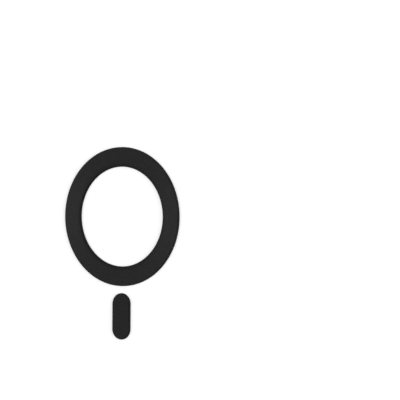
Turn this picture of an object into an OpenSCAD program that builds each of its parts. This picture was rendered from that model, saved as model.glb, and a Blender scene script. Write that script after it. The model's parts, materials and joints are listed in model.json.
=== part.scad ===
// Stick-on magnetic ring with its separate alignment bar, both of the same moulded, laminated build.
// The origin is the centre of the ring on the plane that is stuck down. +Z is out of the magnetic face,
// and the bar lies towards -Y.

/* [Magnet ring] */
// Diameter of the circle that the ring's magnets are centred on
magnet_circle_d = 50; // [46:0.5:54]
// Radial width of a ring magnet
magnet_w = 4; // [3:0.1:5]
// Number of magnets in the ring
magnet_count = 18; // [12:1:24]

/* [Ring cover] */
// Wall of the ring cover outside the magnet pockets
ring_outer_wall = 1.85; // [1.6:0.05:3]
// Wall of the ring cover inside the magnet pockets
ring_inner_wall = 2.1; // [1.6:0.05:3]

/* [Layers] */
// Thickness of the double-sided tape
tape_t = 0.2; // [0.1:0.05:0.3]
// Thickness of the steel yokes
yoke_t = 0.15; // [0.1:0.05:0.3]
// Thickness of the magnets
magnet_t = 0.45; // [0.4:0.05:1]
// Thickness of the cover's skin over the magnets
skin_t = 0.2; // [0.15:0.05:0.4]

/* [Alignment bar] */
// Length of a bar magnet
bar_magnet_l = 13; // [11:0.5:15]
// Width of a bar magnet
bar_magnet_w = 2.7; // [2.2:0.1:3.2]
// Number of magnets side by side in the bar
bar_magnet_count = 2; // [1:1:3]
// Wall of the bar cover beside the magnet pockets
bar_side_wall = 1.25; // [1.2:0.05:2]
// Wall of the bar cover past the ends of the magnet pockets
bar_end_wall = 3.05; // [2.8:0.05:4]
// Space between the ring and the bar
bar_gap = 2.9; // [1:0.1:8]

/* [Fits and edges] */
// Rounding of the covers' face edges
face_edge_r = 0.7; // [0.1:0.05:0.8]
// Rounding of the magnets' long edges
magnet_edge_r = 0.08; // [0.04:0.01:0.15]
// Width of the moulded rib between two pockets
rib_w = 0.5; // [0.3:0.05:0.8]
// Width of the step that each yoke is seated on
yoke_shoulder = 0.4; // [0.2:0.05:0.6]
// Width of the cover's rim round the tape
tape_rim = 0.6; // [0.4:0.05:0.8]
// Clearance round the edge of each piece that is laid in a cover
clearance = 0.15; // [0.05:0.01:0.2]

/* [Hidden] */
$fn = 96;
// How far a cut runs past a face that it opens
past = 0.5;

// Levels of the layers, from the plane that is stuck down
yoke_z = tape_t;
magnet_z = yoke_z + yoke_t;
skin_z = magnet_z + magnet_t;
face_z = skin_z + skin_t;

// Radii of the ring, from its magnets outwards and inwards
magnet_in_r = magnet_circle_d / 2 - magnet_w / 2;
magnet_out_r = magnet_circle_d / 2 + magnet_w / 2;
pocket_in_r = magnet_in_r - clearance;
pocket_out_r = magnet_out_r + clearance;
ring_in_r = pocket_in_r - ring_inner_wall;
ring_out_r = pocket_out_r + ring_outer_wall;

// Angles of the ring's pockets, with the rib's width taken on the magnet circle
magnet_pitch = 360 / magnet_count;
degrees_per_mm = 360 / (PI * magnet_circle_d);
pocket_angle = magnet_pitch - rib_w * degrees_per_mm;
magnet_angle = pocket_angle - 2 * clearance * degrees_per_mm;

// Half sizes and place of the bar, from its magnets outwards
bar_pocket_w = bar_magnet_w + 2 * clearance;
bar_pocket_l = bar_magnet_l + 2 * clearance;
bar_pocket_pitch = bar_pocket_w + rib_w;
bar_pockets_half_w = (bar_magnet_count * bar_pocket_pitch - rib_w) / 2;
bar_half_w = bar_pockets_half_w + bar_side_wall;
bar_half_l = bar_pocket_l / 2 + bar_end_wall;
bar_y = -(ring_out_r + bar_gap + bar_half_l);

// How far the bar's recesses lie inside its outline
bar_yoke_inset = bar_side_wall - yoke_shoulder;

function two_digits(n) = n < 10 ? str("0", n) : str(n);
function names(stem, count) = [for (i = [1:count]) str(stem, two_digits(i))];
RING_MAGNETS = names("ring_magnet_", magnet_count);
BAR_MAGNETS = names("bar_magnet_", bar_magnet_count);

// Rectangle from corner (x0, y0) to (x1, y1) with its two upper corners rounded
module top_rounded_section(x0, x1, y0, y1, r) {
    translate([x0, y0]) square([x1 - x0, y1 - y0 - r]);
    translate([x0 + r, y0]) square([x1 - x0 - 2 * r, y1 - y0]);
    intersection() {
        translate([x0, y0]) square([x1 - x0, y1 - y0]);
        for (x = [x0 + r, x1 - r]) {
            translate([x, y1 - r]) circle(r);
        }
    }
}

// Rectangle from corner (x0, y0) to (x1, y1) with all corners rounded
module rounded_section(x0, x1, y0, y1, r) {
    translate([x0, y0 + r]) square([x1 - x0, y1 - y0 - 2 * r]);
    translate([x0 + r, y0]) square([x1 - x0 - 2 * r, y1 - y0]);
    for (x = [x0 + r, x1 - r], y = [y0 + r, y1 - r]) {
        translate([x, y]) circle(r);
    }
}

// Flat ring between two radii and two levels
module flat_ring(r_in, r_out, z0, z1) {
    rotate_extrude() translate([r_in, z0]) square([r_out - r_in, z1 - z0]);
}

// Places its children in the ring's pocket with this number, counted from +X
module at_ring_pocket(number, angle) {
    rotate([0, 0, number * magnet_pitch - angle / 2]) children();
}

// Cut for one magnet pocket of the ring, down to the yoke's recess
module ring_pocket(number) {
    at_ring_pocket(number, pocket_angle)
        rotate_extrude(angle = pocket_angle)
            translate([pocket_in_r, yoke_z])
                square([pocket_out_r - pocket_in_r, skin_z - yoke_z]);
}

// Cap of the ring: rounded face edges, and below them the recesses of the tape and yoke and the pockets
module ring_cover() {
    color([0.16, 0.16, 0.16]) difference() {
        rotate_extrude() top_rounded_section(ring_in_r, ring_out_r, 0, face_z, face_edge_r);
        flat_ring(ring_in_r + tape_rim, ring_out_r - tape_rim, -past, yoke_z);
        flat_ring(pocket_in_r - yoke_shoulder, pocket_out_r + yoke_shoulder, -past, magnet_z);
        for (i = [0:magnet_count - 1]) {
            ring_pocket(i);
        }
    }
}

// One plated arc magnet of the ring
module ring_magnet(number) {
    color([0.75, 0.74, 0.71]) at_ring_pocket(number, magnet_angle)
        rotate_extrude(angle = magnet_angle)
            rounded_section(magnet_in_r, magnet_out_r, magnet_z, skin_z, magnet_edge_r);
}

// Steel ring behind the magnets, seated on the step beside them
module ring_yoke() {
    inset = yoke_shoulder - clearance;
    color([0.55, 0.56, 0.58]) flat_ring(pocket_in_r - inset, pocket_out_r + inset, yoke_z, magnet_z);
}

// Tape under the ring, flush with the cover's rims
module ring_tape() {
    inset = tape_rim + clearance;
    color([0.1, 0.1, 0.1]) flat_ring(ring_in_r + inset, ring_out_r - inset, 0, tape_t);
}

// The bar's outline, moved in all round by an inset
module bar_outline(inset) {
    r = bar_half_w - inset;
    reach = bar_half_l - bar_half_w;
    translate([-r, -reach]) square([2 * r, 2 * reach]);
    for (y = [-reach, reach]) {
        translate([0, y]) circle(r);
    }
}

// Flat pill between two levels, inset from the bar's outline
module flat_pill(inset, z0, z1) {
    translate([0, bar_y, z0]) linear_extrude(z1 - z0) bar_outline(inset);
}

// Pill with rounded face edges: a straight middle with half a turned puck at each end
module bar_shell() {
    reach = bar_half_l - bar_half_w;
    rotate([90, 0, 0]) translate([0, 0, -reach]) linear_extrude(2 * reach)
        top_rounded_section(-bar_half_w, bar_half_w, 0, face_z, face_edge_r);
    for (turn = [0, 180]) {
        rotate([0, 0, turn]) translate([0, reach, 0]) rotate_extrude(angle = 180)
            intersection() {
                top_rounded_section(-bar_half_w, bar_half_w, 0, face_z, face_edge_r);
                square([bar_half_w, face_z]);
            }
    }
}

// Middle of the bar's magnet with this number, counted from -X
function bar_magnet_x(number) = (number - (bar_magnet_count - 1) / 2) * bar_pocket_pitch;

// Cut for one magnet pocket of the bar, down to the yoke's recess
module bar_pocket(number) {
    translate([bar_magnet_x(number) - bar_pocket_w / 2, bar_y - bar_pocket_l / 2, yoke_z])
        cube([bar_pocket_w, bar_pocket_l, skin_z - yoke_z]);
}

// Cap of the bar, with the same recesses and pockets as the ring's
module bar_cover() {
    color([0.14, 0.14, 0.14]) difference() {
        translate([0, bar_y, 0]) bar_shell();
        flat_pill(tape_rim, -past, yoke_z);
        flat_pill(bar_yoke_inset, -past, magnet_z);
        for (i = [0:bar_magnet_count - 1]) {
            bar_pocket(i);
        }
    }
}

// One plated block magnet of the bar
module bar_magnet(number) {
    color([0.75, 0.74, 0.71]) translate([bar_magnet_x(number), bar_y + bar_magnet_l / 2, 0])
        rotate([90, 0, 0]) linear_extrude(bar_magnet_l)
            rounded_section(-bar_magnet_w / 2, bar_magnet_w / 2, magnet_z, skin_z, magnet_edge_r);
}

// Steel plate behind the bar's magnets
module bar_yoke() {
    color([0.55, 0.56, 0.58]) flat_pill(bar_yoke_inset + clearance, yoke_z, magnet_z);
}

// Tape under the bar, flush with the cover's rim
module bar_tape() {
    color([0.1, 0.1, 0.1]) flat_pill(tape_rim + clearance, 0, tape_t);
}

ring_cover();
ring_yoke();
ring_tape();
bar_cover();
bar_yoke();
bar_tape();
for (i = [0:magnet_count - 1]) {
    ring_magnet(i);
}
for (i = [0:bar_magnet_count - 1]) {
    bar_magnet(i);
}
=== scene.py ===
"""Dresses a stick-on magnetic ring and its alignment bar, which lie face up on a plain pale floor.

The pieces' sizes are in millimetres and the studio's in metres. Every finished mesh is in metres.
"""

import json
import logging
import math
from dataclasses import dataclass
from enum import Enum

import bmesh
import bpy
from mathutils import Matrix, Vector

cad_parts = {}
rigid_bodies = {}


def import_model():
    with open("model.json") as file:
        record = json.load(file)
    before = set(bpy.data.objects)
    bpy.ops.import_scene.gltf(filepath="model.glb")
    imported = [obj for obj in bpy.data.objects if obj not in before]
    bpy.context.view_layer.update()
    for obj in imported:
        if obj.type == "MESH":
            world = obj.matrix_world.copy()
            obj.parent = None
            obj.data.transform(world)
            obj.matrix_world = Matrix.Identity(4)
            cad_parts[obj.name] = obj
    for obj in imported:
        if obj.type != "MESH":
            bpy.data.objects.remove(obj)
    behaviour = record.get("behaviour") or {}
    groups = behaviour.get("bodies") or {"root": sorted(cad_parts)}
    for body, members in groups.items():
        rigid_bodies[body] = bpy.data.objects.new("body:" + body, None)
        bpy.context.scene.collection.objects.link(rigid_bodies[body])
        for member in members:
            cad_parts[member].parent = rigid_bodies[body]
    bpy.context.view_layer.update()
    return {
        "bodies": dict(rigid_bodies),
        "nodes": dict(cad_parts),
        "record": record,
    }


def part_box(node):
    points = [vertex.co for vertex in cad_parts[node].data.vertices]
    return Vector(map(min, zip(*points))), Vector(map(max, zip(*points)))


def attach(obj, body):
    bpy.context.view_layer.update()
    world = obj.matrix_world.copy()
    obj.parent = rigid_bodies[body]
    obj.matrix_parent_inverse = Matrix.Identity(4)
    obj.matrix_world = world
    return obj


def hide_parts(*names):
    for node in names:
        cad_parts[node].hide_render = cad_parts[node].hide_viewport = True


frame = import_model()

LOG = logging.getLogger("magnetic_ring")
BODY = "root"
MM = 0.001
SMOOTH_ANGLE = math.radians(32)
RING_MIDDLE = 25.0
RADIUS_ROUNDS = 20


class Slot(Enum):
    """The record's material slots."""

    SOFT_TOUCH = "soft_touch"
    PLATING = "magnet_plating"
    STEEL = "yoke_steel"
    TAPE = "tape"


class Lay(Enum):
    """How the fine tool lines of a moulding run."""

    ROUND = "round"
    ACROSS = "across"


class Grain(Enum):
    """How the grain of a metal runs."""

    ROLLED = 12.0
    PLATED = 1.0


class Graph:
    """Short forms for building a node tree."""

    def __init__(self, tree: bpy.types.NodeTree) -> None:
        """Takes the tree to build in."""
        self.tree = tree

    def add(self, kind: str, inputs: dict | None = None, **settings: object) -> bpy.types.Node:
        """Adds a node.

        Args:
            kind: The node's type.
            inputs: Values or sockets for its inputs, by name or number.
            settings: The node's own settings.

        Returns:
            The new node.
        """
        node = self.tree.nodes.new(kind)
        for name, value in settings.items():
            setattr(node, name, value)
        for key, value in (inputs or {}).items():
            self.feed(node.inputs[key], value)
        return node

    def feed(self, socket: bpy.types.NodeSocket, value: object) -> None:
        """Links a socket to an input, or sets the input's value."""
        if isinstance(value, bpy.types.NodeSocket):
            self.tree.links.new(value, socket)
        else:
            socket.default_value = value

    def math(self, operation: str, first: object, second: object = 0.0) -> bpy.types.NodeSocket:
        """Adds a math node.

        Args:
            operation: The node's operation.
            first: First value or socket.
            second: Second value or socket.

        Returns:
            The result's socket.
        """
        return self.add("ShaderNodeMath", {0: first, 1: second}, operation=operation).outputs[0]

    def spread(self, value: object, low: float, high: float) -> bpy.types.NodeSocket:
        """Maps a value from 0 to 1 onto a range.

        Args:
            value: Socket with values from 0 to 1.
            low: Result at 0.
            high: Result at 1.

        Returns:
            The result's socket.
        """
        return self.math("ADD", self.math("MULTIPLY", value, high - low), low)

    def background_ray(self) -> bpy.types.NodeSocket:
        """Socket that is 1 where the background is seen directly, mirrored or through glass."""
        rays = self.add("ShaderNodeLightPath").outputs
        indirect = self.math("MAXIMUM", rays["Is Glossy Ray"], rays["Is Transmission Ray"])
        return self.math("MAXIMUM", rays["Is Camera Ray"], indirect)


class ShaderGraph(Graph):
    """One material's node tree."""

    def __init__(self, name: str) -> None:
        """Starts an empty material of this name."""
        self.material = bpy.data.materials.new(name)
        self.material.use_nodes = True
        super().__init__(self.material.node_tree)
        self.tree.nodes.clear()

    def place(self, centre: Vector | None = None) -> bpy.types.NodeSocket:
        """Coordinates in metres.

        Args:
            centre: Point that they are counted from.

        Returns:
            The coordinates' socket.
        """
        place = self.add("ShaderNodeTexCoord").outputs["Object"]
        if centre is None:
            return place
        return self.add("ShaderNodeMapping", {0: place, "Location": -centre}).outputs[0]

    def radius(self, axes: bpy.types.NodeOutputs) -> bpy.types.NodeSocket:
        """Distance from the upright axis, from coordinates that are given one by one."""
        squares = [self.math("POWER", axes[axis], 2.0) for axis in "XY"]
        return self.math("SQRT", self.math("ADD", *squares))

    def noise(self, place: object, size: float, detail: float = 2.0) -> bpy.types.NodeSocket:
        """Adds a noise.

        Args:
            place: Socket of the coordinates.
            size: Size of its blotches in millimetres.
            detail: Octaves.

        Returns:
            The noise's socket, from 0 to 1.
        """
        inputs = {"Vector": place, "Scale": 1 / (size * MM), "Detail": detail}
        return self.add("ShaderNodeTexNoise", inputs).outputs[0]

    def grey(self, value: object) -> bpy.types.NodeSocket:
        """Turns a brightness socket into a grey colour socket."""
        return self.add("ShaderNodeCombineColor", {0: value, 1: value, 2: value}).outputs[0]

    def bump(self, height: object, depth: float, under: object = None) -> bpy.types.NodeSocket:
        """Adds a relief.

        Args:
            height: Socket of the height, from 0 to 1.
            depth: Depth in millimetres.
            under: Socket of the normal that the relief lies on.

        Returns:
            The normal's socket.
        """
        inputs = {"Height": height, "Distance": depth * MM, "Strength": 1.0}
        if under is not None:
            inputs["Normal"] = under
        return self.add("ShaderNodeBump", inputs).outputs[0]

    def surface(self, **inputs: object) -> bpy.types.Material:
        """Ends the material in one principled shader.

        Args:
            inputs: The shader's inputs, with underscores for spaces.

        Returns:
            The material.
        """
        named = {key.replace("_", " "): value for key, value in inputs.items()}
        shader = self.add("ShaderNodeBsdfPrincipled", named)
        self.add("ShaderNodeOutputMaterial", {"Surface": shader.outputs[0]})
        return self.material


class ShapeGraph(Graph):
    """One Geometry Nodes tree with named inputs, turned into a plain mesh."""

    def __init__(self, name: str, sizes: dict[str, float | int]) -> None:
        """Starts a tree.

        Args:
            name: The tree's name.
            sizes: Its named inputs and their values.
        """
        super().__init__(bpy.data.node_groups.new(name, "GeometryNodeTree"))
        self.sizes = sizes
        self.tree.interface.new_socket("Geometry", in_out="OUTPUT", socket_type="NodeSocketGeometry")
        for label, value in sizes.items():
            kind = "NodeSocketInt" if isinstance(value, int) else "NodeSocketFloat"
            self.tree.interface.new_socket(label, in_out="INPUT", socket_type=kind)
        self.inputs = self.tree.nodes.new("NodeGroupInput").outputs

    def pick(self, kind: str, values: list) -> bpy.types.NodeSocket:
        """Gives each point the value that stands at its own number.

        Args:
            kind: Data type of the values.
            values: Values or sockets in the points' order.

        Returns:
            The picked value's socket.
        """
        switch = self.add("GeometryNodeIndexSwitch", data_type=kind)
        while len(switch.index_switch_items) < len(values):
            switch.index_switch_items.new()
        self.feed(switch.inputs["Index"], self.add("GeometryNodeInputIndex").outputs[0])
        for number, value in enumerate(values):
            self.feed(switch.inputs[number + 1], value)
        return switch.outputs[0]

    def point(self, x: object, y: object = 0.0, z: object = 0.0) -> bpy.types.NodeSocket:
        """Joins three values or sockets into a point."""
        return self.add("ShaderNodeCombineXYZ", {0: x, 1: y, 2: z}).outputs[0]

    def finish(self, geometry: object, material: bpy.types.Material) -> None:
        """Shades the shape, brings it to metres and ends the tree.

        Args:
            geometry: Socket of the shape, in millimetres.
            material: The material that it is given.
        """
        angle = self.add("GeometryNodeInputMeshEdgeAngle").outputs["Unsigned Angle"]
        soft = self.math("LESS_THAN", angle, SMOOTH_ANGLE)
        faces = self.add("GeometryNodeSetShadeSmooth", {0: geometry, "Shade Smooth": True})
        shading = {0: faces.outputs[0], "Shade Smooth": soft}
        edges = self.add("GeometryNodeSetShadeSmooth", shading, domain="EDGE")
        scaled = self.add("GeometryNodeTransform", {"Geometry": edges.outputs[0], "Scale": (MM, MM, MM)})
        whole = self.add("GeometryNodeRealizeInstances", {0: scaled.outputs[0]})
        dressed = self.add("GeometryNodeSetMaterial", {"Geometry": whole.outputs[0], "Material": material})
        self.add("NodeGroupOutput", {0: dressed.outputs[0]})

    def piece(self, name: str) -> bpy.types.Object:
        """Runs the tree and keeps its result as a plain mesh.

        Args:
            name: The new piece's name.

        Returns:
            The piece, with no modifier.
        """
        carrier = bpy.data.objects.new("carrier", bpy.data.meshes.new("carrier"))
        bpy.context.scene.collection.objects.link(carrier)
        modifier = carrier.modifiers.new("shape", "NODES")
        modifier.node_group = self.tree
        for item in self.tree.interface.items_tree:
            if item.in_out == "INPUT":
                modifier[item.identifier] = self.sizes[item.name]
        mesh = plain_mesh(carrier, name)
        bpy.data.objects.remove(carrier)
        for number in reversed(range(len(mesh.materials))):
            if mesh.materials[number] is None:
                mesh.materials.pop(index=number)
        return linked(name, mesh)


def plain_mesh(source: bpy.types.Object, name: str) -> bpy.types.Mesh:
    """The mesh of an object with its modifiers applied.

    Args:
        source: The object.
        name: The new mesh's name.

    Returns:
        The new mesh.
    """
    graph = bpy.context.evaluated_depsgraph_get()
    mesh = bpy.data.meshes.new_from_object(source.evaluated_get(graph))
    mesh.name = name
    return mesh


def linked(name: str, mesh: bpy.types.Mesh) -> bpy.types.Object:
    """Makes an object of a mesh and puts it in the scene."""
    piece = bpy.data.objects.new(name, mesh)
    bpy.context.scene.collection.objects.link(piece)
    return piece


def rounded_path(corners: list[tuple[float, float, float]], steps: int) -> list[tuple[float, float]]:
    """Follows a stepped section and rounds its square corners.

    Args:
        corners: Points of the section with the radius at each; sides run along one axis or the other.
        steps: Steps of each rounding.

    Returns:
        The points of the rounded section.
    """
    path = []
    for number, (x, y, radius) in enumerate(corners):
        here = Vector((x, y))
        if radius == 0.0 or number in (0, len(corners) - 1):
            path.append((x, y))
            continue
        back = (Vector(corners[number - 1][:2]) - here).normalized() * radius
        ahead = (Vector(corners[number + 1][:2]) - here).normalized() * radius
        middle = here + back + ahead
        for step in range(steps + 1):
            turn = step / steps * math.pi / 2
            path.append(tuple(middle - ahead * math.cos(turn) - back * math.sin(turn)))
    return path


@dataclass(frozen=True)
class SoftTouch:
    """Matte black soft-touch moulding: a fine grain, and a sheen across the tool lines of its flat face."""

    name: str
    lay: Lay
    centre: Vector
    face: float
    shade: float = 0.0118
    cloud: float = 0.16
    cloud_size: float = 6.0
    speckle: float = 0.6
    speckle_size: float = 0.8
    # The band along the window is painted shade: the colour darkens towards the window's edge.
    window_r: float | None = None
    window_painted_shade_band: tuple[float, float] = (0.6, 2.0)
    window_painted_shade: float = 0.4
    roughness: float = 0.25
    wear: float = 0.04
    wear_size: float = 1.5
    specular: float = 0.08
    grain_size: float = 0.11
    grain_depth: float = 0.009
    line_size: float = 0.09
    line_length: float = 9.0
    line_depth: float = 0.005
    face_fade: float = 0.08
    face_margin: float = 0.005
    sheen_roughness: float = 0.46
    sheen_stretch: float = 0.9

    def material(self) -> bpy.types.Material:
        """The finish as a material."""
        graph = ShaderGraph(self.name)
        place = graph.place(self.centre)
        axes = graph.add("ShaderNodeSeparateXYZ", {0: place}).outputs
        flat = self.flat(graph, axes["Z"])
        wear = graph.spread(graph.noise(place, self.wear_size), -self.wear, self.wear)
        rough = graph.spread(flat, self.roughness, self.sheen_roughness)
        return graph.surface(
            Base_Color=graph.grey(self.tone(graph, place, axes)),
            Roughness=graph.math("ADD", rough, wear),
            Anisotropic=self.sheen_stretch,
            Tangent=self.across(graph, axes),
            Specular_IOR_Level=self.specular,
            Normal=self.relief(graph, place, axes, flat),
        )

    def tone(
        self, graph: ShaderGraph, place: bpy.types.NodeSocket, axes: bpy.types.NodeOutputs
    ) -> bpy.types.NodeSocket:
        """How light the moulding is: clouded and speckled, with painted shade in a band along the ring's
        window.

        Args:
            graph: The material's nodes.
            place: Coordinates from the piece's centre.
            axes: The same coordinates one by one.

        Returns:
            The brightness's socket.
        """
        cloud = graph.noise(place, self.cloud_size, detail=3.0)
        cloud = graph.spread(cloud, 1 - self.cloud, 1 + self.cloud)
        speckle = graph.noise(place, self.speckle_size)
        speckle = graph.spread(speckle, 1 - self.speckle, 1 + self.speckle)
        tone = graph.math("MULTIPLY", graph.math("MULTIPLY", cloud, speckle), self.shade)
        if self.window_r is None:
            return tone
        # Painted shade: the colour darkens in a band along the ring's window edge.
        near, far = ((self.window_r + width) * MM for width in self.window_painted_shade_band)
        inputs = {"Value": graph.radius(axes), "From Min": near, "From Max": far, "To Min": self.window_painted_shade}
        return graph.math("MULTIPLY", tone, graph.add("ShaderNodeMapRange", inputs).outputs[0])

    def flat(self, graph: ShaderGraph, height: bpy.types.NodeSocket) -> bpy.types.NodeSocket:
        """Tells the flat face from the rounded edges.

        Args:
            graph: The material's nodes.
            height: Socket of the height in metres.

        Returns:
            Socket that is 1 on the flat face and 0 below it.
        """
        top = (self.face - self.face_margin) * MM
        inputs = {"Value": height, "From Min": top - self.face_fade * MM, "From Max": top}
        return graph.add("ShaderNodeMapRange", inputs, interpolation_type="SMOOTHSTEP").outputs[0]

    def across(self, graph: ShaderGraph, axes: bpy.types.NodeOutputs) -> bpy.types.NodeSocket:
        """The direction across the tool lines, which the sheen is drawn out along.

        Args:
            graph: The material's nodes.
            axes: Coordinates from the piece's centre.

        Returns:
            The direction's socket.
        """
        ways = (axes["X"], axes["Y"], 0.0) if self.lay is Lay.ROUND else (0.0, 1.0, 0.0)
        way = graph.add("ShaderNodeCombineXYZ", dict(enumerate(ways))).outputs[0]
        unit = graph.add("ShaderNodeVectorMath", {0: way}, operation="NORMALIZE").outputs[0]
        kinds = {"vector_type": "VECTOR", "convert_from": "OBJECT", "convert_to": "WORLD"}
        return graph.add("ShaderNodeVectorTransform", {0: unit}, **kinds).outputs[0]

    def relief(
        self,
        graph: ShaderGraph,
        place: bpy.types.NodeSocket,
        axes: bpy.types.NodeOutputs,
        flat: bpy.types.NodeSocket,
    ) -> bpy.types.NodeSocket:
        """The tool lines of the flat face under the grain, which covers the edges too.

        Args:
            graph: The material's nodes.
            place: Coordinates from the piece's centre.
            axes: The same coordinates one by one.
            flat: Socket that is 1 on the flat face.

        Returns:
            The normal's socket.
        """
        if self.lay is Lay.ROUND:
            across = graph.radius(axes)
            around = graph.math("ARCTAN2", axes["Y"], axes["X"])
            seam = [graph.math(wave, around) for wave in ("SINE", "COSINE")]
            along = [graph.math("MULTIPLY", part, RING_MIDDLE * MM) for part in seam]
        else:
            across = axes["Y"]
            along = [axes["X"], axes["Z"]]
        drawn = [graph.math("MULTIPLY", part, self.line_size / self.line_length) for part in along]
        sample = graph.add("ShaderNodeCombineXYZ", {0: across, 1: drawn[0], 2: drawn[1]}).outputs[0]
        lines = graph.math("MULTIPLY", graph.noise(sample, self.line_size, detail=1.0), flat)
        lined = graph.bump(lines, self.line_depth)
        return graph.bump(graph.noise(place, self.grain_size, detail=3.0), self.grain_depth, lined)


@dataclass(frozen=True)
class Tape:
    """Black double-sided tape: a satin adhesive face with faint ripples."""

    name: str = "black_tape"
    shade: float = 0.012
    cloud: float = 0.2
    cloud_size: float = 4.5
    roughness: float = 0.4
    roughness_spread: float = 0.1
    specular: float = 0.4
    ripple_size: float = 0.9
    ripple_depth: float = 0.012

    def material(self) -> bpy.types.Material:
        """The finish as a material."""
        graph = ShaderGraph(self.name)
        place = graph.place()
        ripple = graph.noise(place, self.ripple_size, detail=4.0)
        cloud = graph.noise(place, self.cloud_size)
        tone = graph.spread(cloud, (1 - self.cloud) * self.shade, (1 + self.cloud) * self.shade)
        low, high = self.roughness - self.roughness_spread, self.roughness + self.roughness_spread
        return graph.surface(
            Base_Color=graph.grey(tone),
            Roughness=graph.spread(ripple, low, high),
            Specular_IOR_Level=self.specular,
            Normal=graph.bump(ripple, self.ripple_depth),
        )


@dataclass(frozen=True)
class Metal:
    """Plain metal with a fine grain."""

    name: str
    tint: tuple[float, float, float]
    roughness: float
    grain: Grain
    grain_size: float = 0.12
    grain_depth: float = 0.003
    roughness_spread: float = 0.06
    cloud_size: float = 3.0
    cloud_shade: float = 0.86

    def material(self) -> bpy.types.Material:
        """The finish as a material."""
        graph = ShaderGraph(self.name)
        place = graph.place()
        stretch = (1.0, 1 / self.grain.value, 1.0)
        along = graph.add("ShaderNodeMapping", {0: place, "Scale": stretch}).outputs[0]
        grain = graph.noise(along, self.grain_size, detail=4.0)
        cloud = graph.noise(place, self.cloud_size, detail=3.0)
        dark = (*(self.cloud_shade * part for part in self.tint), 1.0)
        colours = {"Factor": cloud, 6: dark, 7: (*self.tint, 1.0)}
        tint = graph.add("ShaderNodeMix", data_type="RGBA")
        for socket, value in colours.items():
            graph.feed(tint.inputs[socket], value)
        low, high = self.roughness - self.roughness_spread, self.roughness + self.roughness_spread
        return graph.surface(
            Base_Color=tint.outputs[2],
            Metallic=1.0,
            Roughness=graph.spread(grain, low, high),
            Normal=graph.bump(grain, self.grain_depth),
        )


@dataclass(frozen=True)
class FloorFinish:
    """Matte white floor that the camera sees as plain white, apart from the object's shadow."""

    name: str = "studio_floor"
    shade: float = 0.8
    lift: float = 0.45

    def material(self) -> bpy.types.Material:
        """The finish as a material."""
        graph = ShaderGraph(self.name)
        seen = graph.background_ray()
        return graph.surface(
            Base_Color=(self.shade, self.shade, self.shade, 1.0),
            Roughness=1.0,
            Specular_IOR_Level=0.0,
            Emission_Color=(1.0, 1.0, 1.0, 1.0),
            Emission_Strength=graph.math("MULTIPLY", seen, self.lift),
        )


def window_sizes() -> dict[str, float]:
    """The record's radius of the ring's window and the height of its straight wall, in millimetres."""
    return next(mount["dims"] for mount in frame["record"]["mounts"] if mount["name"] == "ring_window")


@dataclass(frozen=True)
class Layers:
    """Levels of the laminated build and the gaps round its layers, as the frame has them."""

    tape: float
    yoke: float
    magnet: float
    face: float
    face_edge: float
    clearance: float = 0.15
    rim: float = 0.6
    shoulder: float = 0.4
    rib: float = 0.5
    small_edge: float = 0.04
    edge_guard: float = 0.12

    @classmethod
    def from_frame(cls, kind: str) -> "Layers":
        """Reads the levels of one assembly.

        Args:
            kind: Prefix of its nodes, ring or bar.

        Returns:
            Its layers.
        """
        tops = [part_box(f"{kind}_{node}")[1].z / MM for node in ("tape", "yoke", "magnet_01", "cover")]
        return cls(*tops, face_edge=tops[-1] - window_sizes()["length_mm"])


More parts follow.
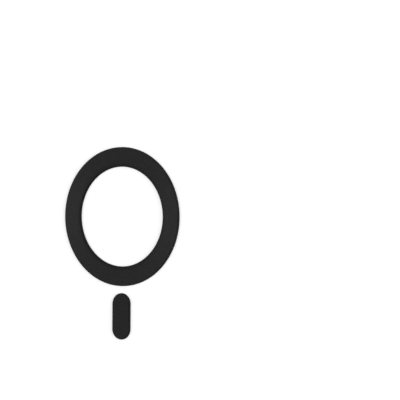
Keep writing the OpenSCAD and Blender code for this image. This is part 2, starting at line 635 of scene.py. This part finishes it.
@dataclass
class RingCover:
    """Moulded cap of the ring: a stepped section swept round, with a pocket for each magnet."""

    layers: Layers
    inner_r: float
    outer_r: float
    pocket_in_r: float
    pocket_out_r: float
    pocket_count: int
    segments: int = 288
    pocket_steps: int = 17
    name: str = "ring_soft_cap"

    @classmethod
    def from_frame(cls) -> "RingCover":
        """Reads the ring's sizes from the frame."""
        layers = Layers.from_frame("ring")
        magnets = [node for node in frame["nodes"] if node.startswith("ring_magnet_")]
        first = [corner.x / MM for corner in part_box("ring_magnet_01")]
        half_angle = math.pi / len(magnets)
        rib = layers.rib / 2 + layers.clearance
        magnet_in_r = cls.inner_radius(first[0], first[1], half_angle, rib)
        return cls(
            layers=layers,
            inner_r=window_sizes()["r_mm"],
            outer_r=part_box("ring_cover")[1].x / MM,
            pocket_in_r=magnet_in_r - layers.clearance,
            pocket_out_r=first[1] + layers.clearance,
            pocket_count=len(magnets),
        )

    @staticmethod
    def inner_radius(low_x: float, outer_r: float, half_angle: float, rib: float) -> float:
        """Inner radius of the arc magnet that lies across +X.

        Args:
            low_x: Lowest x of the magnet.
            outer_r: Its outer radius.
            half_angle: Half of the angle from magnet to magnet.
            rib: Half of the space between two magnets, on their circle.

        Returns:
            The radius, found where the angle that it gives agrees with itself.
        """
        radius = low_x
        for _ in range(RADIUS_ROUNDS):
            angle = half_angle - rib / ((radius + outer_r) / 2)
            radius = low_x / math.cos(angle)
        return radius

    def section(self) -> list[tuple[str, str, str]]:
        """Corners of the section in order: radius, level and edge rounding, by their input names."""
        return [
            ("Inner Radius", "Foot Level", "Small Edge"),
            ("Inner Radius", "Face Level", "Face Edge"),
            ("Inner Guard", "Face Level", "No Edge"),
            ("Outer Guard", "Face Level", "No Edge"),
            ("Outer Radius", "Face Level", "Face Edge"),
            ("Outer Radius", "Foot Level", "Small Edge"),
            ("Outer Rim", "Foot Level", "Small Edge"),
            ("Outer Rim", "Tape Level", "Small Edge"),
            ("Outer Step", "Tape Level", "Small Edge"),
            ("Outer Step", "Yoke Level", "Small Edge"),
            ("Inner Step", "Yoke Level", "Small Edge"),
            ("Inner Step", "Tape Level", "Small Edge"),
            ("Inner Rim", "Tape Level", "Small Edge"),
            ("Inner Rim", "Foot Level", "Small Edge"),
        ]

    def sizes(self) -> dict[str, float | int]:
        """Values of the tree's named inputs."""
        layers = self.layers
        middle_r = (self.pocket_in_r + self.pocket_out_r) / 2
        guard = layers.face_edge + layers.edge_guard
        return {
            "Middle Radius": middle_r,
            "Inner Radius": self.inner_r,
            "Outer Radius": self.outer_r,
            "Inner Guard": self.inner_r + guard,
            "Outer Guard": self.outer_r - guard,
            "Inner Rim": self.inner_r + layers.rim,
            "Outer Rim": self.outer_r - layers.rim,
            "Inner Step": self.pocket_in_r - layers.shoulder,
            "Outer Step": self.pocket_out_r + layers.shoulder,
            "Foot Level": 0.0,
            "Tape Level": layers.tape,
            "Yoke Level": layers.yoke,
            "Magnet Level": layers.magnet,
            "Face Level": layers.face,
            "Face Edge": layers.face_edge,
            "Small Edge": layers.small_edge,
            "No Edge": 0.0,
            "Pocket Width": self.pocket_out_r - self.pocket_in_r,
            "Pocket Angle": math.tau / self.pocket_count - layers.rib / middle_r,
            "Pocket Count": self.pocket_count,
            "Segments": self.segments,
        }

    def swept_section(self, graph: ShapeGraph) -> bpy.types.NodeSocket:
        """Sweeps the rounded section round the ring's axis.

        Args:
            graph: The ring's tree.

        Returns:
            Socket of the closed body, without its pockets.
        """
        size = graph.inputs
        corners = self.section()
        line = graph.add("GeometryNodeCurvePrimitiveLine", {"End": (1.0, 0.0, 0.0)})
        resample = {"Curve": line.outputs[0], "Count": len(corners)}
        points = graph.add("GeometryNodeResampleCurve", resample, mode="COUNT")
        places = []
        for radius, level, _ in corners:
            outward = graph.math("SUBTRACT", size[radius], size["Middle Radius"])
            places.append(graph.point(outward, graph.math("MULTIPLY", size[level], -1.0)))
        set_out = {0: points.outputs[0], "Position": graph.pick("VECTOR", places)}
        placed = graph.add("GeometryNodeSetPosition", set_out)
        closed = graph.add("GeometryNodeSetSplineCyclic", {0: placed.outputs[0], "Cyclic": True})
        rounding = {
            "Curve": closed.outputs[0],
            "Radius": graph.pick("FLOAT", [size[edge] for _, _, edge in corners]),
            "Count": graph.pick("INT", [self.edge_steps(edge) for _, _, edge in corners]),
        }
        rounded = graph.add("GeometryNodeFilletCurve", rounding, mode="POLY")
        round_path = {"Resolution": size["Segments"], "Radius": size["Middle Radius"]}
        circle = graph.add("GeometryNodeCurvePrimitiveCircle", round_path)
        sweep = {"Curve": circle.outputs[0], "Profile Curve": rounded.outputs[0]}
        return graph.add("GeometryNodeCurveToMesh", sweep).outputs[0]

    @staticmethod
    def edge_steps(edge: str) -> int:
        """Points of a rounding, by its input's name."""
        return {"Face Edge": 10, "Small Edge": 2, "No Edge": 1}[edge]

    def pocket_cutters(self, graph: ShapeGraph) -> bpy.types.NodeSocket:
        """Repeats one arc-shaped block round the ring.

        Args:
            graph: The ring's tree.

        Returns:
            Socket of the blocks that the pockets are cut with.
        """
        size = graph.inputs
        bend = {
            "Resolution": self.pocket_steps,
            "Radius": size["Middle Radius"],
            "Start Angle": graph.math("MULTIPLY", size["Pocket Angle"], -0.5),
            "Sweep Angle": size["Pocket Angle"],
        }
        arc = graph.add("GeometryNodeCurveArc", bend)
        height = graph.math("SUBTRACT", size["Magnet Level"], size["Tape Level"])
        outline = {"Width": size["Pocket Width"], "Height": height}
        profile = graph.add("GeometryNodeCurvePrimitiveQuadrilateral", outline)
        sweep = {"Curve": arc.outputs[0], "Profile Curve": profile.outputs[0], "Fill Caps": True}
        block = graph.add("GeometryNodeCurveToMesh", sweep)
        level = graph.math("MULTIPLY", graph.math("ADD", size["Magnet Level"], size["Tape Level"]), 0.5)
        middle = {"Count": size["Pocket Count"], "Position": graph.point(0.0, 0.0, level)}
        pitch = graph.math("DIVIDE", math.tau, size["Pocket Count"])
        turn = graph.math("MULTIPLY", graph.add("GeometryNodeInputIndex").outputs[0], pitch)
        repeat = {
            "Points": graph.add("GeometryNodePoints", middle).outputs[0],
            "Instance": block.outputs[0],
            "Rotation": graph.point(0.0, 0.0, turn),
        }
        blocks = graph.add("GeometryNodeInstanceOnPoints", repeat)
        return graph.add("GeometryNodeRealizeInstances", {0: blocks.outputs[0]}).outputs[0]

    def build(self) -> bpy.types.Object:
        """Builds and dresses the cap.

        Returns:
            The piece that stands for the frame's ring cover.
        """
        graph = ShapeGraph(self.name, self.sizes())
        cut = graph.add("GeometryNodeMeshBoolean", operation="DIFFERENCE", solver="EXACT")
        graph.feed(cut.inputs["Mesh 1"], self.swept_section(graph))
        graph.feed(cut.inputs["Mesh 2"], self.pocket_cutters(graph))
        # window_r turns on the painted shade along the ring's window.
        finish = SoftTouch("soft_touch_ring", Lay.ROUND, Vector(), self.layers.face, window_r=self.inner_r)
        graph.finish(cut.outputs[0], finish.material())
        return declared(graph.piece(self.name), "ring_cover")


@dataclass
class BarCover:
    """Moulded cap of the alignment bar: pill-shaped loops joined from face to recess."""

    layers: Layers
    centre: Vector
    half_w: float
    half_l: float
    pockets: list[tuple[Vector, Vector]]
    end_steps: int = 40
    edge_steps: int = 10
    # Painted shade: the bar's moulding is the ring's, given a darker colour than the ring's.
    shade: float = 0.0096
    name: str = "bar_soft_cap"

    @classmethod
    def from_frame(cls) -> "BarCover":
        """Reads the bar's sizes from the frame."""
        low, high = (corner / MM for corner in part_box("bar_cover"))
        centre = (low + high) / 2
        layers = Layers.from_frame("bar")
        gap = Vector((layers.clearance, layers.clearance, 0.0))
        magnets = sorted(node for node in frame["nodes"] if node.startswith("bar_magnet_"))
        pockets = []
        for node in magnets:
            near, far = (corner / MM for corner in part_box(node))
            near.z = layers.tape
            pockets.append((near - gap, far + gap))
        return cls(
            layers=layers,
            centre=Vector((centre.x, centre.y, 0.0)),
            half_w=(high.x - low.x) / 2,
            half_l=(high.y - low.y) / 2,
            pockets=pockets,
        )

    def section(self) -> list[tuple[float, float]]:
        """Insets and levels of the loops, from the face down the outside and up into the recess."""
        layers = self.layers
        edge = layers.small_edge
        low_x, high_x = self.pockets[0][0].x, self.pockets[-1][1].x
        step = self.half_w - (high_x - low_x) / 2 - layers.shoulder
        corners = [
            (layers.face_edge + layers.edge_guard, layers.face, 0.0),
            (0.0, layers.face, layers.face_edge),
            (0.0, 0.0, edge),
            (layers.rim, 0.0, edge),
            (layers.rim, layers.tape, edge),
            (step, layers.tape, edge),
            (step, layers.yoke, edge),
            (step + 2 * edge, layers.yoke, 0.0),
        ]
        return rounded_path(corners, self.edge_steps)

    def loop(self, inset: float, level: float) -> list[Vector]:
        """One loop of the pill.

        Args:
            inset: How far it lies inside the outline.
            level: Its height.

        Returns:
            Its points, counterclockwise from +X.
        """
        radius = self.half_w - inset
        reach = self.half_l - self.half_w
        points = []
        for end in (1, -1):
            for step in range(self.end_steps + 1):
                turn = math.pi * step / self.end_steps + (0.0 if end == 1 else math.pi)
                at = Vector((radius * math.cos(turn), end * reach + radius * math.sin(turn), level))
                points.append(self.centre + at)
        return points

    def shell(self) -> bpy.types.Mesh:
        """Joins the loops into the closed cap, without its pockets."""
        mesh = bmesh.new()
        rows = [[mesh.verts.new(point * MM) for point in self.loop(*at)] for at in self.section()]
        for upper, lower in zip(rows, rows[1:]):
            for number in range(len(upper)):
                following = (number + 1) % len(upper)
                mesh.faces.new((upper[number], lower[number], lower[following], upper[following]))
        mesh.faces.new(rows[0])
        mesh.faces.new(reversed(rows[-1]))
        shell = bpy.data.meshes.new(self.name)
        mesh.to_mesh(shell)
        mesh.free()
        return shell

    def cutters(self) -> bpy.types.Object:
        """One block for each magnet pocket."""
        mesh = bmesh.new()
        for low, high in self.pockets:
            size = Matrix.Diagonal((high - low) * MM).to_4x4()
            bmesh.ops.create_cube(mesh, size=1.0, matrix=Matrix.Translation((low + high) / 2 * MM) @ size)
        blocks = bpy.data.meshes.new("cutters")
        mesh.to_mesh(blocks)
        mesh.free()
        return linked("cutters", blocks)

    def build(self) -> bpy.types.Object:
        """Builds and dresses the cap.

        Returns:
            The piece that stands for the frame's bar cover.
        """
        shell = linked("shell", self.shell())
        cutters = self.cutters()
        cut = shell.modifiers.new("pockets", "BOOLEAN")
        cut.operation = "DIFFERENCE"
        cut.solver = "EXACT"
        cut.object = cutters
        mesh = plain_mesh(shell, self.name)
        for helper in (shell, cutters):
            bpy.data.objects.remove(helper)
        mesh.shade_smooth()
        mesh.set_sharp_from_angle(angle=SMOOTH_ANGLE)
        mesh.materials.clear()
        # The bar's finish is the ring's moulding with a darker colour, which is painted shade.
        finish = SoftTouch("soft_touch_bar", Lay.ACROSS, self.centre * MM, self.layers.face, self.shade)
        mesh.materials.append(finish.material())
        return declared(linked(self.name, mesh), "bar_cover")


@dataclass
class Lamination:
    """The frame's own tapes, steel yokes and plated magnets, which keep their shapes."""

    tape: Tape
    steel: Metal
    plating: Metal

    def dress(self) -> list[bpy.types.Object]:
        """Gives each of these nodes its material.

        Returns:
            The nodes that were dressed.
        """
        finishes = {
            "tape": self.tape.material(),
            "yoke": self.steel.material(),
            "magnet": self.plating.material(),
        }
        dressed = []
        for name, node in sorted(frame["nodes"].items()):
            layer = name.split("_")[1]
            if layer in finishes:
                for slot in node.material_slots:
                    slot.material = finishes[layer]
                dressed.append(node)
        return dressed


def declared(piece: bpy.types.Object, node: str) -> bpy.types.Object:
    """Attaches a new piece to the body and hides the frame's node that it stands for.

    Args:
        piece: The piece.
        node: The frame's node that it stands for.

    Returns:
        The piece.
    """
    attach(piece, BODY)
    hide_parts(node)
    return piece


@dataclass(frozen=True)
class Softbox:
    """One large soft lamp that faces the object."""

    name: str
    place: tuple[float, float, float]
    width: float
    length: float
    power: float

    def light(self) -> bpy.types.Object:
        """Hangs the lamp."""
        lamp = bpy.data.lights.new(self.name, "AREA")
        lamp.shape = "RECTANGLE"
        lamp.size = self.width
        lamp.size_y = self.length
        lamp.energy = self.power
        holder = bpy.data.objects.new(self.name, lamp)
        holder.location = self.place
        holder.rotation_euler = Vector(self.place).to_track_quat("Z", "Y").to_euler()
        bpy.context.scene.collection.objects.link(holder)
        return holder


@dataclass(frozen=True)
class Viewpoint:
    """The camera: a long lens that looks down on the face, turned and tipped as in the picture."""

    turn: float = math.radians(34.4)
    tip: float = math.radians(0.65)
    roll: float = math.radians(0.36)
    lens: float = 600.0
    sensor: float = 36.0
    clip: tuple[float, float] = (0.01, 100.0)
    picture: float = 400.0
    per_mm: float = 2.4
    centre_px: tuple[float, float] = (121.05, 216.6)
    face: float = 1.0

    def camera(self) -> bpy.types.Object:
        """Places the camera so that the ring's centre falls on its pixel."""
        level = math.cos(self.tip)
        away = Vector((math.sin(self.turn) * level, math.sin(self.tip), math.cos(self.turn) * level))
        right = Vector((0.0, 1.0, 0.0)).cross(away).normalized()
        up = away.cross(right)
        spin = Matrix.Rotation(self.roll, 3, away)
        right, up = spin @ right, spin @ up
        half = self.picture / 2
        aim = Vector((0.0, 0.0, self.face))
        aim += right * (half - self.centre_px[0]) / self.per_mm
        aim += up * (self.centre_px[1] - half) / self.per_mm
        distance = self.picture / self.per_mm * self.lens / self.sensor
        lens = bpy.data.cameras.new("camera")
        lens.lens = self.lens
        lens.sensor_width = self.sensor
        lens.clip_start, lens.clip_end = self.clip
        camera = bpy.data.objects.new("camera", lens)
        turned = Matrix((right, up, away)).transposed().to_4x4()
        camera.matrix_world = Matrix.Translation((aim + away * distance) * MM) @ turned
        bpy.context.scene.collection.objects.link(camera)
        bpy.context.scene.camera = camera
        return camera


@dataclass
class Studio:
    """Plain pale floor, soft lamps, an even surround and the camera."""

    floor_half: float = 3.0
    floor_drop: float = 0.00001
    surround: float = 0.11
    surround_side: float = 0.78
    softboxes: tuple[Softbox, ...] = (
        Softbox("softbox_left", place=(-0.95, 0.0, 0.9), width=0.5, length=1.5, power=9.0),
        Softbox("softbox_right", place=(1.1, 0.0, 0.5), width=1.7, length=0.7, power=7.2),
    )

    def build(self) -> None:
        """Builds the studio."""
        self.lay_floor()
        self.set_surround()
        for softbox in self.softboxes:
            softbox.light()
        Viewpoint().camera()
        bpy.context.scene.view_settings.view_transform = "Standard"

    def lay_floor(self) -> bpy.types.Object:
        """Lays the floor just under the object."""
        half = self.floor_half
        mesh = bpy.data.meshes.new("floor")
        corners = [(x * half, y * half, -self.floor_drop) for x, y in ((-1, -1), (1, -1), (1, 1), (-1, 1))]
        mesh.from_pydata(corners, [], [(0, 1, 2, 3)])
        mesh.materials.append(FloorFinish().material())
        floor = linked("floor", mesh)
        return floor

    def set_surround(self) -> None:
        """Lights softly from all round, most from +X, and shows white to the camera."""
        world = bpy.data.worlds.new("surround")
        bpy.context.scene.world = world
        world.use_nodes = True
        graph = Graph(world.node_tree)
        graph.tree.nodes.clear()
        seen = graph.background_ray()
        toward = graph.add("ShaderNodeSeparateXYZ", {0: graph.add("ShaderNodeTexCoord").outputs["Generated"]})
        side = graph.math("MAXIMUM", toward.outputs["X"], 0.0)
        glow = graph.spread(side, self.surround, self.surround + self.surround_side)
        strength = graph.math("MAXIMUM", glow, seen)
        sky = graph.add("ShaderNodeBackground", {"Color": (1.0, 1.0, 1.0, 1.0), "Strength": strength})
        graph.add("ShaderNodeOutputWorld", {"Surface": sky.outputs[0]})


def clear_defaults() -> None:
    """Removes what a new Blender file brings with it."""
    kept = set(frame["nodes"].values()) | set(frame["bodies"].values())
    for item in list(bpy.context.scene.objects):
        if item not in kept:
            bpy.data.objects.remove(item)


def main() -> None:
    """Builds every piece and the studio, and reports them."""
    logging.basicConfig(level=logging.INFO, format="%(name)s: %(message)s")
    clear_defaults()
    for cover in (RingCover.from_frame(), BarCover.from_frame()):
        piece = cover.build()
        LOG.info("%s: %d faces", piece.name, len(piece.data.polygons))
    lamination = Lamination(
        tape=Tape(),
        steel=Metal("strip_steel", tint=(0.5, 0.5, 0.51), roughness=0.32, grain=Grain.ROLLED),
        plating=Metal("dull_nickel", tint=(0.66, 0.63, 0.58), roughness=0.24, grain=Grain.PLATED),
    )
    for node in lamination.dress():
        LOG.info("%s: dressed", node.name)
    Studio().build()


if __name__ == "__main__":
    main()
